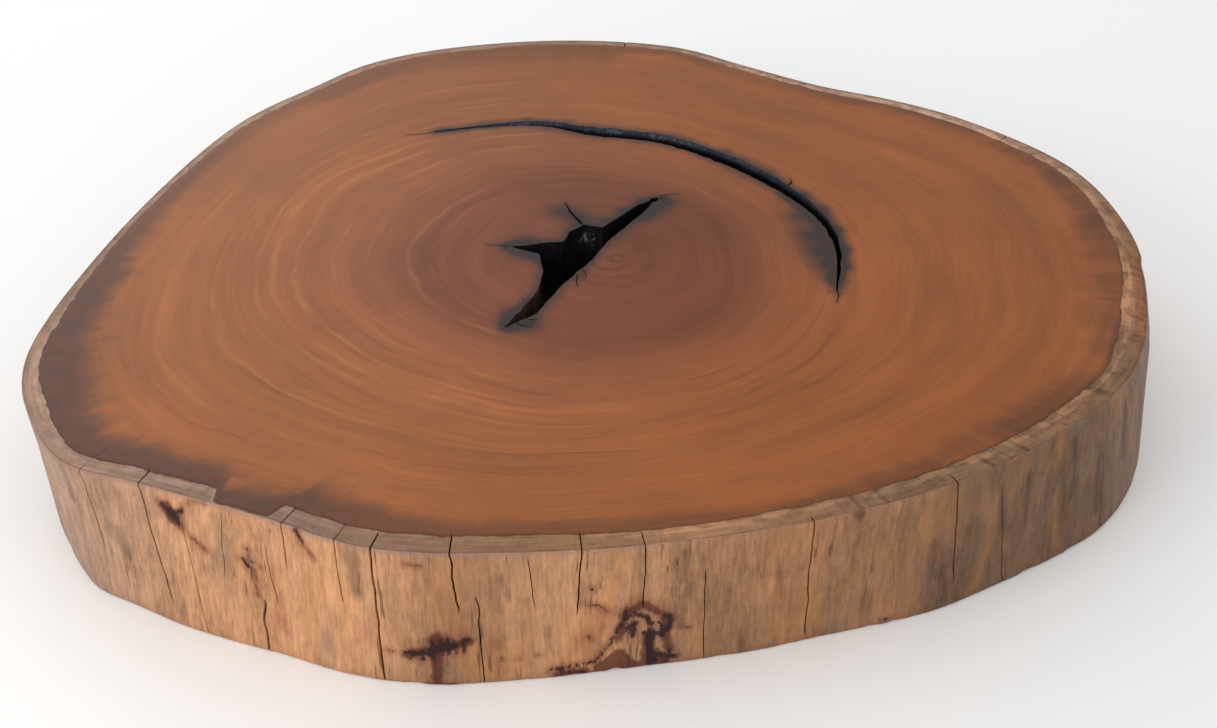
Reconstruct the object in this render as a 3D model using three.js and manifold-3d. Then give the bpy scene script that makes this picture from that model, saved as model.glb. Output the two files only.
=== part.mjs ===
// Cross-cut slice of one tree trunk, thick enough to serve as a low table top.
// Millimetres, +Z up, origin at the middle of the footprint on the underside.

import * as THREE from 'three';
import { mergeVertices } from 'three/addons/utils/BufferGeometryUtils.js';
import Module from 'manifold-3d';

const wasm = await Module();
wasm.setup();

// Driving dimensions.
const thickness = 146;
const topArris = 2.5;          // how far the eased top edge comes in and goes down
const bottomArris = 3;
const rimSegments = 144;       // points round the trunk
const shakeSegments = 40;      // points along each side of the ring shake
const cutClearance = 10;       // how far the cutting bodies stand out past both faces

// Heights of the rings of the wall, bottom to top.
const shoulderHeight = 110;    // where the wall stops curving and runs straight down
const wallHeights = [0, bottomArris, 40, 75, shoulderHeight, thickness - topArris, thickness];

// The outline of the top face, anticlockwise, as a smooth closed curve through these points.
const rimPoints = [
  [545, 40], [510, 170], [410, 285], [335, 335], [250, 375], [165, 430], [80, 485], [-60, 505],
  [-210, 480], [-300, 435], [-355, 375], [-430, 280], [-505, 80], [-555, -160], [-555, -235],
  [-535, -300], [-485, -380], [-415, -410], [-305, -455], [-200, -500], [-60, -505], [60, -490],
  [165, -465], [280, -420], [395, -345], [490, -240], [540, -80],
];

// How far the wall stands outside the rim of the top face at its shoulder and at its foot, as
// [azimuth in degrees, shoulder, foot]. The trunk swells on the right and draws in at the left.
const wallLean = [
  [0, 6, 12], [60, 2, 4], [180, 0, 0], [215, -4, -12], [230, 4, 12], [250, 1, 3], [275, -3, -10],
  [290, -3, -10], [310, 0, 0], [330, 6, 14],
];

// The star-shaped hollow where the heartwood has gone, anticlockwise.
const hollowPoints = [
  [50, 95], [30, 80], [-10, 30], [-30, 35], [-45, 20], [-50, 0], [-105, -10], [-75, -25],
  [-70, -60], [-75, -100], [-105, -165], [-75, -140], [-50, -85], [-20, -35], [-5, 0], [35, 65],
];

// The ring shake, a gap that follows one growth ring: [x, y, width of the gap].
const shakePoints = [
  [-205, 250, 2], [-140, 265, 5], [-80, 270, 10], [-20, 250, 18], [60, 230, 18], [155, 155, 18],
  [220, 60, 12], [235, -10, 7], [225, -100, 2],
];

// The lean at an azimuth, eased between the entries of the list, as [shoulder, foot].
function leanAt(azimuth) {
  const turn = (azimuth + 360) % 360;
  const after = wallLean.findIndex(([angle]) => angle > turn);
  const next = after < 0 ? wallLean[0] : wallLean[after];
  const last = after < 0 ? wallLean[wallLean.length - 1] : wallLean[after - 1];
  const span = (next[0] - last[0] + 360) % 360;
  const part = THREE.MathUtils.smoothstep(turn - last[0], 0, span);
  return [1, 2].map((column) => THREE.MathUtils.lerp(last[column], next[column], part));
}

// The top face's outline as evenly spaced points.
function rimOutline() {
  const knots = rimPoints.map(([x, y]) => new THREE.Vector3(x, y, 0));
  const curve = new THREE.CatmullRomCurve3(knots, true, 'centripetal');
  return curve.getSpacedPoints(rimSegments);
}

// How far the wall at a height stands outside the rim of the top face.
function wallOffset(azimuth, height) {
  if (height === thickness) return -topArris;
  const [shoulder, foot] = leanAt(azimuth);
  if (height === 0) return foot - bottomArris;
  if (height > shoulderHeight) return 0;
  return THREE.MathUtils.lerp(foot, shoulder, height / shoulderHeight);
}

// A cylinder whose rings are moved out to the outline of the trunk.
function slabGeometry() {
  const rings = wallHeights.length - 1;
  const geometry = new THREE.CylinderGeometry(1, 1, rings, rimSegments, rings);
  geometry.rotateX(Math.PI / 2);
  const outline = rimOutline();
  const place = geometry.attributes.position;
  for (let i = 0; i < place.count; i += 1) {
    const turn = Math.atan2(place.getY(i), place.getX(i));
    const reach = Math.hypot(place.getX(i), place.getY(i));
    const height = wallHeights[Math.round(place.getZ(i) + rings / 2)];
    const step = Math.round((turn / (2 * Math.PI)) * rimSegments);
    const rim = outline[(step + rimSegments) % rimSegments];
    const azimuth = THREE.MathUtils.radToDeg(Math.atan2(rim.y, rim.x));
    const scale = 1 + wallOffset(azimuth, height) / rim.length();
    const isRim = reach > 0.5;
    place.setXYZ(i, isRim ? rim.x * scale : 0, isRim ? rim.y * scale : 0, height);
  }
  return geometry;
}

// A prism that runs through the whole slice and out of both faces.
function throughPrism(outline) {
  const depth = thickness + 2 * cutClearance;
  const geometry = new THREE.ExtrudeGeometry(new THREE.Shape(outline), { depth, bevelEnabled: false });
  geometry.translate(0, 0, -cutClearance);
  return geometry;
}

function hollowGeometry() {
  return throughPrism(hollowPoints.map(([x, y]) => new THREE.Vector2(x, y)));
}

// The two sides of the shake stand half its width off the line along its middle.
function shakeGeometry() {
  const knots = shakePoints.map(([x, y, width]) => new THREE.Vector3(x, y, width));
  const curve = new THREE.CatmullRomCurve3(knots, false, 'centripetal');
  const outer = [];
  const inner = [];
  for (let i = 0; i <= shakeSegments; i += 1) {
    const point = curve.getPoint(i / shakeSegments);
    const along = curve.getTangent(i / shakeSegments);
    const side = new THREE.Vector2(-along.y, along.x).setLength(point.z / 2);
    const middle = new THREE.Vector2(point.x, point.y);
    outer.push(middle.clone().add(side));
    inner.unshift(middle.clone().sub(side));
  }
  return throughPrism([...outer, ...inner]);
}

// A closed geometry as a solid that can be cut.
function toSolid(geometry) {
  geometry.deleteAttribute('normal');
  geometry.deleteAttribute('uv');
  const merged = mergeVertices(geometry, 1e-4);
  const vertProperties = new Float32Array(merged.attributes.position.array);
  const triVerts = new Uint32Array(merged.index.array);
  return new wasm.Manifold(new wasm.Mesh({ numProp: 3, vertProperties, triVerts }));
}

// The solid as a geometry, with the middle of its footprint on the Z axis.
function toGeometry(solid) {
  const cut = solid.getMesh();
  const geometry = new THREE.BufferGeometry();
  geometry.setAttribute('position', new THREE.BufferAttribute(cut.vertProperties, 3));
  geometry.setIndex(new THREE.BufferAttribute(cut.triVerts, 1));
  geometry.computeBoundingBox();
  const middle = geometry.boundingBox.getCenter(new THREE.Vector3());
  geometry.translate(-middle.x, -middle.y, 0);
  geometry.computeVertexNormals();
  return geometry;
}

// Oiled red-brown heartwood.
function woodMaterial() {
  return new THREE.MeshStandardMaterial({ color: 0x9a5f3c, roughness: 0.45, metalness: 0 });
}

// The whole slice: one grown piece, with the hollow and the shake cut through it.
function woodSlice() {
  const slab = toSolid(slabGeometry());
  const slice = slab.subtract(toSolid(hollowGeometry())).subtract(toSolid(shakeGeometry()));
  const mesh = new THREE.Mesh(toGeometry(slice), woodMaterial());
  mesh.name = 'wood_slice';
  return mesh;
}

const object = new THREE.Group();
object.add(woodSlice());

export default object;
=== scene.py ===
import itertools
import math

import bpy
import numpy as np
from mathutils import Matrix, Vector
from mathutils.geometry import delaunay_2d_cdt


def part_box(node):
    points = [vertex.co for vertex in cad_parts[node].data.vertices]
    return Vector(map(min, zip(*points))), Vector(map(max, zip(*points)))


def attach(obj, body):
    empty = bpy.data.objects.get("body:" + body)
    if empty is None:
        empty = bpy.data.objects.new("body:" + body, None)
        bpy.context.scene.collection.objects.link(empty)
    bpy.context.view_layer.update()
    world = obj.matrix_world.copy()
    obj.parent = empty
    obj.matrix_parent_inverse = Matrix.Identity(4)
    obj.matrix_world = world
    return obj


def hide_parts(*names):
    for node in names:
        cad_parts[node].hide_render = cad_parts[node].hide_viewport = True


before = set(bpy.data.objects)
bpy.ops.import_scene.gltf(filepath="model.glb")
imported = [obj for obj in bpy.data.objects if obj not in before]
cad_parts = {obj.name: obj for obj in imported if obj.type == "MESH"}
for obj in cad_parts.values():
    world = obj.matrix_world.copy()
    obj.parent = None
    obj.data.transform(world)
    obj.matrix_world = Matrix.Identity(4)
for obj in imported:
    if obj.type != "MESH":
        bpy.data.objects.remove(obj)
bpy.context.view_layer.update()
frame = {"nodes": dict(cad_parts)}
print("frame loaded:", ", ".join(frame["nodes"]))

# All shape work below is in millimetres; the mesh is scaled to metres when it is made.
mm = 0.001
low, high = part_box("wood_slice")
topZ = high[2] / mm
degreeRun = 8.9  # millimetres of wall to a degree of azimuth, about

camera = {
    "place": (-0.0046, -1.7136, 1.1481),  # metres, in front of the slice and above it
    "down": 34.0,                         # degrees below the horizon
    "focal": 1.561,                       # focal length as a share of the picture's width
}

light = {
    "world": (1.0, 1.0, 1.0), "worldStrength": 0.80,
    "floor": (0.98, 0.98, 0.98),
    # name, watts, colour, size, place, aim point
    "lamps": [
        ("windowBackLeft", 17, (1.0, 1.0, 1.0), (2.4, 1.6), (-1.7, 2.6, 1.5), (0, 0, 0.1)),
        ("frontLeft", 26, (1.0, 0.98, 0.95), (1.6, 1.4), (-1.9, -1.9, 1.3), (0, 0, 0.1)),
    ],
}


def paint(red, green, blue):
    # a colour given in the usual 0 to 255 steps, as the linear values the finishes need
    parts = (red / 255, green / 255, blue / 255)
    return tuple(p / 12.92 if p < 0.04045 else ((p + 0.055) / 1.055) ** 2.4 for p in parts)


def ramp(start, end, value):
    part = np.clip((value - start) / (end - start), 0, 1)
    return part * part * (3 - 2 * part)


def latticeNoise(points, seed):
    # smooth random values from -1 to 1 on a unit lattice
    cell = np.floor(points).astype(np.int64)
    part = points - cell
    part = part * part * (3 - 2 * part)
    total = np.zeros(len(points))
    for corner in itertools.product((0, 1), repeat=3):
        q = cell + corner
        h = (q[:, 0] * 73856093) ^ (q[:, 1] * 19349663) ^ (q[:, 2] * 83492791) ^ (seed * 2654435)
        h = ((h ^ (h >> 13)) * 1274126177) & 0x7fffffff
        h = ((h ^ (h >> 15)) * 73244475) & 0x7fffffff
        value = ((h >> 8) & 0xffff) / 32767.5 - 1
        share = np.prod(np.where(np.array(corner) == 1, part, 1 - part), axis=1)
        total += value * share
    return total


def atHeight(xy, z=0.0):
    # flat points given one height
    return np.column_stack([xy, np.full(len(xy), z)])


def grainNoise(points, size, seed, octaves=2):
    # size is the length of one lump along x, y and z, in millimetres
    total, weight = 0, 0
    for step in range(octaves):
        share = 0.5 ** step
        total = total + share * latticeNoise(points / np.array(size, float) * 2 ** step, seed + step)
        weight += share
    return total / weight


def aroundTable(table, azimuth):
    # value at an azimuth in degrees from rows of (azimuth, value)
    turns = np.array([row[0] for row in table], float)
    values = np.array([row[1] for row in table], float)
    turns = np.concatenate([turns - 360, turns, turns + 360])
    values = np.tile(values, 3)
    return np.interp(np.mod(azimuth, 360), turns, values)


def toneTable(table, azimuth):
    # colour at an azimuth from rows of (azimuth, name of a tone)
    parts = [aroundTable([(turn, tones[tone][k]) for turn, tone in table], azimuth) for k in range(3)]
    return np.stack(parts + [np.ones_like(parts[0])], 1)


def azimuthOf(xy):
    return np.degrees(np.arctan2(xy[:, 1], xy[:, 0])) % 360


def ringOn(points, at):
    # Catmull-Rom through a closed ring of points, at fractional indices
    n = len(points)
    i = np.floor(at).astype(int)
    t = (at - i)[:, None]
    a, b, c, d = (points[(i + k) % n] for k in (-1, 0, 1, 2))
    square = 2 * a - 5 * b + 4 * c - d
    cube = 3 * b - a - 3 * c + d
    return 0.5 * (2 * b + (c - a) * t + square * t ** 2 + cube * t ** 3)


def resample(points, spacing, closed=True):
    ends = np.vstack([points, points[:1]]) if closed else points
    run = np.concatenate([[0], np.cumsum(np.hypot(*np.diff(ends, axis=0).T))])
    count = max(3, int(round(run[-1] / spacing)))
    at = np.linspace(0, run[-1], count, endpoint=not closed)
    return np.stack([np.interp(at, run, ends[:, k]) for k in range(ends.shape[1])], 1)


def outNormals(loop, smoothing=1):
    # unit normals of an anticlockwise closed loop, pointing out of it
    edge = np.roll(loop, -smoothing, 0) - np.roll(loop, smoothing, 0)
    normal = np.stack([edge[:, 1], -edge[:, 0]], 1)
    return normal / np.maximum(np.linalg.norm(normal, axis=1, keepdims=True), 1e-9)


def area(loop):
    x, y = loop[:, 0], loop[:, 1]
    return 0.5 * np.sum(x * np.roll(y, -1) - y * np.roll(x, -1))


def inside(loop, points):
    hit = np.zeros(len(points), bool)
    for a, b in zip(loop, np.roll(loop, -1, 0)):
        if a[1] == b[1]:
            continue
        span = (a[1] > points[:, 1]) != (b[1] > points[:, 1])
        hit ^= span & (points[:, 0] < (b[0] - a[0]) * (points[:, 1] - a[1]) / (b[1] - a[1]) + a[0])
    return hit


def gapTo(line, points, closed=True):
    # distance from each point to a polyline
    ends = np.roll(line, -1, 0) if closed else line[1:]
    starts = line if closed else line[:-1]
    best = np.full(len(points), 1e9)
    for a, b in zip(starts, ends):
        e = b - a
        t = np.clip(((points - a) @ e) / max(e @ e, 1e-9), 0, 1)
        best = np.minimum(best, np.hypot(*(points - a - t[:, None] * e).T))
    return best


def readFrame():
    mesh = frame["nodes"]["wood_slice"].data
    place = np.empty(len(mesh.vertices) * 3)
    mesh.vertices.foreach_get("co", place)
    place = np.round(place.reshape(-1, 3) / mm, 2)
    mesh.calc_loop_triangles()
    triangles = np.array([t.vertices[:] for t in mesh.loop_triangles])

    # edges that bound the flat top, chained into loops
    flat = [t for t in triangles if (place[t, 2] > topZ - 0.05).all()]
    step = {}
    for t in flat:
        keys = [tuple(place[v, :2]) for v in t]
        for k in range(3):
            a, b = keys[k], keys[(k + 1) % 3]
            if a in step.get(b, []):
                step[b].remove(a)
            else:
                step.setdefault(a, []).append(b)
    loops = []
    starts = sorted(a for a in step if step[a])
    for start in starts:
        loop, here = [], start
        while step.get(here):
            loop.append(here)
            here = step[here].pop()
        if len(loop) > 2:
            loops.append(np.array(loop))
    loops.sort(key=lambda loop: -abs(area(loop)))
    holes = [loop if area(loop) > 0 else loop[::-1] for loop in loops[1:]]
    holes.sort(key=lambda loop: np.hypot(*loop.mean(0)))

    # the rings of the wall, each sorted round the trunk from the same column
    beyondCracks = 380
    unique = np.unique(place, axis=0)
    far = unique[np.hypot(unique[:, 0], unique[:, 1]) > beyondCracks]
    rings = []
    for z in np.unique(far[:, 2]):
        ring = far[far[:, 2] == z][:, :2]
        rings.append((z, ring[np.argsort(azimuthOf(ring))]))
    return rings, holes[0], holes[1]


wallRings, hollowLoop, shakeLoop = readFrame()
print("wall rings at", [float(z) for z, ring in wallRings])
print("hollow points", len(hollowLoop), "shake points", len(shakeLoop))


# the outer wood's tones
tones = {
    "golden": paint(200, 148, 108), "sandy": paint(160, 116, 84), "tan": paint(136, 100, 72),
    "brown": paint(120, 90, 68), "pale": paint(166, 134, 114), "dull": paint(140, 112, 96),
}

rim = {
    "columns": 690,          # round the trunk, before the extra ones beside the checks
    "rows": 40,              # down the wall
    "fineSpans": [(225, 244), (249, 259), (262.5, 278)],  # azimuths with twice the columns
    "fluting": 2.0,          # broad waves of the wall
    "ridges": 0.4,           # upright ridges
    "fibres": 0.16,
    # rows of the top band, as distances from the edge
    "insets": [1.6, 3.0, 5.0, 7.5, 10, 12.5, 15, 17.5, 20, 22.5, 25, 28, 31.5, 36],
    # the sapwood band's width, by azimuth; it has split away between the two steps
    "sapwood": [
        (10, 20), (60, 15), (120, 14), (180, 9), (210, 18), (231.5, 20), (232, 2), (237.5, 3),
        (238, 23), (260, 24), (275, 20), (305, 24), (345, 27),
    ],
    # how far the dark edge of the heartwood reaches in from the sapwood, by azimuth
    "margin": [
        (0, 40), (15, 30), (40, 18), (60, 22), (88, 20), (91, 55), (120, 50), (140, 25), (175, 25),
        (205, 55), (230, 30), (238, 45), (255, 20), (290, 16), (320, 35), (335, 25), (350, 45),
    ],
    # how strong that dark edge is
    "marginStrength": [
        (10, 0.85), (30, 0.5), (150, 0.45), (195, 0.95), (235, 0.9), (265, 0.5), (300, 0.5),
        (318, 0.75), (340, 0.4), (349, 0.85), (355, 0.6),
    ],
    # where the wood bulges past the sapwood and its edge is worn round
    "shoulder": [(338, 0), (344, 1), (357, 1), (5, 0)],
    "shoulderDrop": 7.0,
    "shoulderReach": 15.0,
    # tones round the trunk, by azimuth
    "sapwoodTone": [
        (0, "tan"), (40, "pale"), (95, "dull"), (145, "pale"), (185, "dull"), (205, "pale"),
        (235, "dull"), (262, "tan"), (278, "sandy"), (300, "brown"), (325, "tan"), (336, "brown"),
        (347, "sandy"),
    ],
    # the wall's tones are partly the wood's own colour and partly painted light: brighter and more golden
    # at the front-left, darker and browner to the right, as painted shade
    "wallToneAndPaintedLight": [
        (0, "sandy"), (120, "sandy"), (170, "dull"), (200, "dull"), (218, "pale"), (230, "golden"),
        (246, "golden"), (256, "sandy"), (266, "golden"), (280, "sandy"), (299, "sandy"),
        (306, "brown"), (325, "brown"), (345, "dull"),
    ],
}

# Stains on the wall. Each has the azimuth of its middle, and strokes drawn about it as rows of
# (sideways, height) and a half width, all in millimetres.
stains = {
    # a burr like an arch with a beak, low on the front
    "burr": {
        "at": 271,
        "ink": [
            ([(-65, 10), (-50, 12), (-25, 15), (-15, 30), (-5, 50), (0, 62)], 1.1),
            ([(0, 62), (10, 67), (20, 62), (25, 52)], 1.9), ([(0, 68), (3, 74)], 1.4),
            ([(3, 50), (10, 56), (8, 42)], 2.3), ([(18, 42), (35, 40), (42, 48), (42, 60)], 2.2),
            ([(30, 52), (38, 62)], 0.7), ([(35, 50), (35, 36)], 1.4), ([(25, 46), (25, 34)], 1.5),
            ([(22, 40), (24, 22), (25, 6)], 3.4), ([(25, 20), (35, 13), (48, 10)], 2.3),
            ([(30, 20), (28, 4)], 1.8), ([(42, 18), (40, 5)], 1.6), ([(-55, 6), (-35, 4)], 1.2),
            ([(-35, 85), (-20, 80), (-15, 73)], 0.5), ([(-28, 102), (-27, 100)], 0.7),
            ([(-31, 46), (-30, 43)], 1.1), ([(50, 46), (60, 43)], 0.2),
        ],
        "blush": [
            ([(-20, 4), (-5, 18), (5, 2)], 8.5), ([(0, 66), (15, 78), (30, 66)], 4.0),
            ([(38, 60), (40, 22)], 4.2), ([(-58, 2), (-35, 4)], 6.0), ([(12, 2), (35, 6)], 7.0),
            ([(-5, 38), (0, 60)], 4.0), ([(22, 40), (22, 10)], 6.0),
        ],
        "faint": [
            ([(-40, 30), (-15, 70)], 12.0), ([(-5, 60), (15, 84), (45, 62)], 9.0),
            ([(-60, 15), (-25, 20)], 8.0),
        ],
    },
    # a ragged smear on a stalk
    "smear": {
        "at": 253.5,
        "ink": [
            ([(-25, 36), (-10, 36), (5, 45), (25, 52)], 1.8), ([(-8, 37), (2, 43), (10, 46)], 3.0),
            ([(-20, 38), (-20, 30)], 0.9), ([(-12, 40), (-12, 29)], 1.1), ([(-4, 50), (-4, 31)], 1.6),
            ([(3, 52), (3, 35)], 1.5), ([(9, 54), (9, 38)], 1.4), ([(15, 50), (15, 38)], 1.0),
            ([(21, 53), (21, 38)], 0.9), ([(-40, 37), (-36, 36)], 0.3), ([(-22, 133), (-10, 132)], 0.1),
        ],
        "blush": [
            ([(-25, 34), (0, 42), (25, 50)], 4.6), ([(0, 56), (-2, -6)], 5.0), ([(-10, 0), (12, 0)], 4.0),
        ],
        "faint": [([(-22, 44), (25, 60)], 8.0)],
    },
    # a knot under the rim at the left
    "knot": {
        "at": 228,
        "ink": [
            ([(0, 126), (3, 122)], 3.8), ([(-8, 131), (0, 124)], 1.0), ([(4, 122), (8, 113)], 1.4),
            ([(3, 125), (10, 129)], 1.0), ([(10, 136), (20, 142), (30, 143)], -0.5),
            ([(18, 104), (28, 95)], 0.1),
        ],
        "blush": [([(-4, 130), (2, 118)], 5.0), ([(4, 124), (10, 130)], 2.4), ([(20, 104), (30, 95)], 0.4)],
        "faint": [([(-5, 132), (8, 112)], 10.0), ([(20, 104), (30, 94)], 4.0)],
    },
    # specks with a trail below them, and a dash near the rim
    "specks": {
        "at": 236,
        "ink": [
            ([(-6, 109), (-4, 107)], 0.7), ([(-10, 97), (-3, 88)], 1.1), ([(-2, 97), (6, 93)], -0.4),
            ([(1, 87), (2, 64)], -0.5), ([(41, 144), (48, 132)], 0.6), ([(49, 131), (57, 121)], -0.1),
        ],
        "blush": [([(41, 144), (56, 124)], 1.2), ([(1, 90), (2, 60)], 0.5)],
        "faint": [([(0, 96), (3, 60)], 5.0), ([(42, 140), (56, 122)], 3.0), ([(18, 95), (22, 30)], 6.0)],
    },
    # borer holes and small marks along the front
    "holes": {
        "at": 280,
        "ink": [
            ([(-185, 28), (-184, 28)], 0.0), ([(-172, 26), (-171, 26)], -0.2),
            ([(-155, 29), (-154, 29)], -0.2), ([(132, 143), (133, 141)], 1.2), ([(172, 7), (175, 6)], 1.0),
        ],
        "faint": [([(-190, 46), (-187, 14)], 6.0), ([(62, 90), (68, 50)], 6.0)],
    },
}
# grey weathering that runs down the wall: azimuth, top, foot and half width
weathering = [
    (304, 86, 45, 3.0), (305.5, 50, 12, 3.4), (277, 132, 84, 2.4), (278.5, 128, 100, 1.6),
    (312, 120, 70, 2.2), (315.5, 118, 60, 3.4), (318.5, 96, 20, 3.0), (322, 130, 66, 3.2),
    (326, 110, 30, 4.0), (331, 128, 64, 4.5), (337, 100, 20, 4.5), (343, 124, 50, 4.5),
    (350, 80, 10, 5.0), (246, 138, 96, 6.0), (259.5, 120, 96, 2.6), (263.5, 60, 30, 2.4),
    (286.5, 110, 66, 2.4), (283, 34, 4, 3.0), (296.5, 52, 14, 2.6), (222.5, 90, 60, 3.0),
    (218, 140, 104, 2.4), (18, 146, 104, 2.4), (55, 132, 96, 1.6), (83, 70, 34, 2.2),
    (96, 146, 120, 3.0), (128, 40, 0, 3.2), (147, 128, 84, 2.0), (177, 146, 116, 2.6),
    (196, 66, 30, 1.8),
]
# Splits in the wall: azimuth at the top and at the foot, height of the top and of the foot, width,
# and how far across the sapwood band they run.
checks = [
    (220, 221, 150, 60, 1.0, 0.5), (225, 227.5, 150, 20, 1.8, 1.0), (229, 231, 120, 0, 0.9, 0),
    (233, 233, 140, 70, 0.8, 0), (236, 236, 60, -9, 1.6, 0), (237, 238, 120, 55, 0.9, 0),
    (239, 239.5, 150, 100, 1.4, 1.0), (244.5, 245, 150, 80, 1.2, 1.0), (248, 248.5, 150, -9, 2.2, 0.9),
    (255, 255.5, 150, 80, 1.8, 1.0), (257, 257.5, 100, -9, 1.5, 0), (262, 262.5, 140, 80, 0.9, 0),
    (267, 266.5, 150, 70, 1.6, 1.0), (273, 273, 150, 70, 1.3, 0.9), (279, 279.5, 110, -9, 1.1, 0),
    (290, 290.5, 150, 5, 1.5, 0.3), (306, 307, 150, 25, 1.8, 0.5), (312, 314, 110, -9, 1.1, 0),
    (327, 327.5, 95, -9, 1.0, 0), (341, 340.5, 150, 70, 1.2, 0.3), (9, 10, 150, 40, 1.5, 0.6),
    (28, 27.5, 150, -9, 2.0, 1.0), (47, 48, 120, 10, 1.1, 0), (66, 65.5, 150, 60, 1.4, 0.8),
    (88, 88.5, 150, -9, 2.1, 1.0), (106, 105, 110, -9, 1.2, 0), (124, 124.5, 150, 50, 1.4, 0.9),
    (143, 142.5, 150, -9, 1.8, 1.0), (161, 161.5, 90, -9, 1.2, 0), (179, 178.5, 150, 30, 1.6, 0.8),
    (196, 196.5, 150, 65, 1.2, 0.5), (209, 210, 105, -9, 1.0, 0),
]

cracks = {
    "spacing": 2.6,          # between points along a crack's edge
    "rows": 15,              # down the inside of a crack
    "rough": 0.8,            # how ragged the edges are
    "widening": 3.0,         # how much the walls open out below the surface
    "clearance": 1.6,        # wood left between a hairline and a crack
    "bulge": (-28, 34, 22, 9.0),  # where the hollow's wall swells: x, y, reach and height
    # the shake's burnt outer lip, as (azimuth about the pith, width)
    "lip": [
        (-20, -1), (0, -1.8), (22, -1.8), (40, 0), (46, 1.2), (58, 2.6), (68, 1.2), (78, 2.2),
        (92, 3.2), (100, 1.2), (108, 3), (118, 1.2), (132, 0),
    ],
    # hairline splits on the top: rows of points, with the width and depth of the split
    "hairlines": [
        ([(-32, 36), (-45, 62), (-52, 86)], 3.0, 9),
        ([(-105, -10), (-120, -7), (-131, -6)], 1.2, 3),
        ([(52, 98), (64, 103), (72, 102)], 1.2, 3),
        ([(45, 90), (56, 94), (62, 92)], 1.0, 3),
        ([(-36, -68), (-37, -79), (-35, -90)], 1.2, 3),
        ([(-30, -58), (-27, -68), (-28, -76)], 0.9, 2.5),
        ([(-86, -146), (-79, -151), (-72, -149)], 1.8, 4),
        ([(-95, -156), (-87, -162), (-80, -163)], 1.6, 4),
        ([(-208, 248), (-220, 245), (-236, 242)], 1.2, 3),
        ([(225, -102), (224, -110), (221, -120)], 1.2, 3),
        ([(192, 122), (197, 129), (196, 137)], 1.8, 6),
    ],
}

# Smoky scorching round the cracks: x, y, reach and strength.
smoke = [
    (200, 55, 20, 1), (208, 15, 21, 1.1), (212, -20, 20, 1.1), (217, -50, 16, 1), (221, -75, 12, 0.8),
    (190, 95, 12, 0.7), (175, 130, 9, 0.4), (240, 25, 9, 0.5), (240, -15, 10, 0.6), (238, -50, 10, 0.6),
    (228, 70, 9, 0.5), (208, 105, 9, 0.5), (180, 155, 9, 0.5), (130, 205, 8, 0.4),
    (-50, 280, 7, 0.4), (-100, 285, 7, 0.4), (-150, 275, 6, 0.4), (-195, 255, 7, 0.5),
    (-55, 65, 20, 1), (-35, 50, 15, 1), (-10, 48, 10, 0.6), (-90, 5, 15, 0.9), (-95, -25, 15, 0.9),
    (-80, -30, 10, 0.7), (-110, -10, 12, 0.7), (-100, -140, 15, 0.9), (-95, -162, 15, 1),
    (-75, -162, 12, 0.8), (-85, -120, 9, 0.6), (48, 68, 15, 0.9), (38, 50, 11, 0.7), (60, 85, 13, 0.9),
    (10, 68, 11, 0.7), (28, 90, 10, 0.7),
]

# The growth rings follow two given rings and the rim; the levels count outwards from the pith.
rings = {
    "pith": (7, -33),
    # the two rings, as (azimuth about the pith, radius)
    "core": [(0, 130), (45, 140), (90, 170), (130, 215), (185, 220), (240, 180), (300, 155)],
    "shake": [
        (10, 225), (50, 240), (80, 265), (115, 335), (150, 370), (190, 365), (225, 320), (270, 285),
        (320, 250),
    ],
    "coreLevel": 172.0, "shakeLevel": 296.0, "rimLevel": 525.0,
}


def shortWay(step, around):
    # a step round the trunk, taken the shorter way
    return (step + around / 2) % around - around / 2


def buildRim():
    # arc length round the trunk, from the ring just under the arris
    ringsUsed = [ring for z, ring in wallRings if 1 < z < topZ - 1]
    top = ringsUsed[-1]
    dense = np.linspace(0, len(top), 6000, endpoint=False)
    path = ringOn(top, dense)
    step = np.hypot(*(np.roll(path, -1, 0) - path).T)
    run = np.concatenate([[0], np.cumsum(step)])
    around = run[-1]
    turn = np.degrees(np.unwrap(np.arctan2(path[:, 1], path[:, 0])))

    def arcAt(azimuth):
        a = (azimuth - turn[0]) % 360 + turn[0]
        return np.interp(a, turn, run[:-1])

    arcs = np.arange(rim["columns"]) * around / rim["columns"]
    extraArcs = []
    for start, end in rim["fineSpans"]:
        a, b = arcAt(start), arcAt(end)
        between = arcs[(arcs > a) & (arcs < b)]
        extraArcs.append(between + around / rim["columns"] / 2)
    arcs = np.concatenate([arcs] + extraArcs)
    keep = np.ones(len(arcs), bool)
    extra, kind = [], []
    for number, check in enumerate(checks):
        middle = arcAt(check[0])
        half = check[4] / 2
        keep &= np.abs(shortWay(arcs - middle, around)) > half + 2.4
        for offset in (-half - 1.3, -half, 0, half, half + 1.3):
            extra.append(middle + offset)
            kind.append(number if offset == 0 else -1)
    arcs = np.concatenate([arcs[keep], extra])
    owner = np.concatenate([np.full(keep.sum(), -1), kind]).astype(int)
    order = np.argsort(arcs)
    return arcs[order], owner[order], arcAt, around, run, dense


def placeAt(ring, arcs, run, dense):
    # points on a ring at arc lengths that were measured on the top ring
    index = np.interp(arcs % run[-1], run, np.append(dense, len(wallRings[0][1])))
    return ringOn(ring, index)


finishNumber = {"top": 0, "wall": 1, "crack": 2, "underside": 3}
faceSpacing = {"top": 7.5, "underside": 26.0}  # between the points inside a flat face


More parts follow.
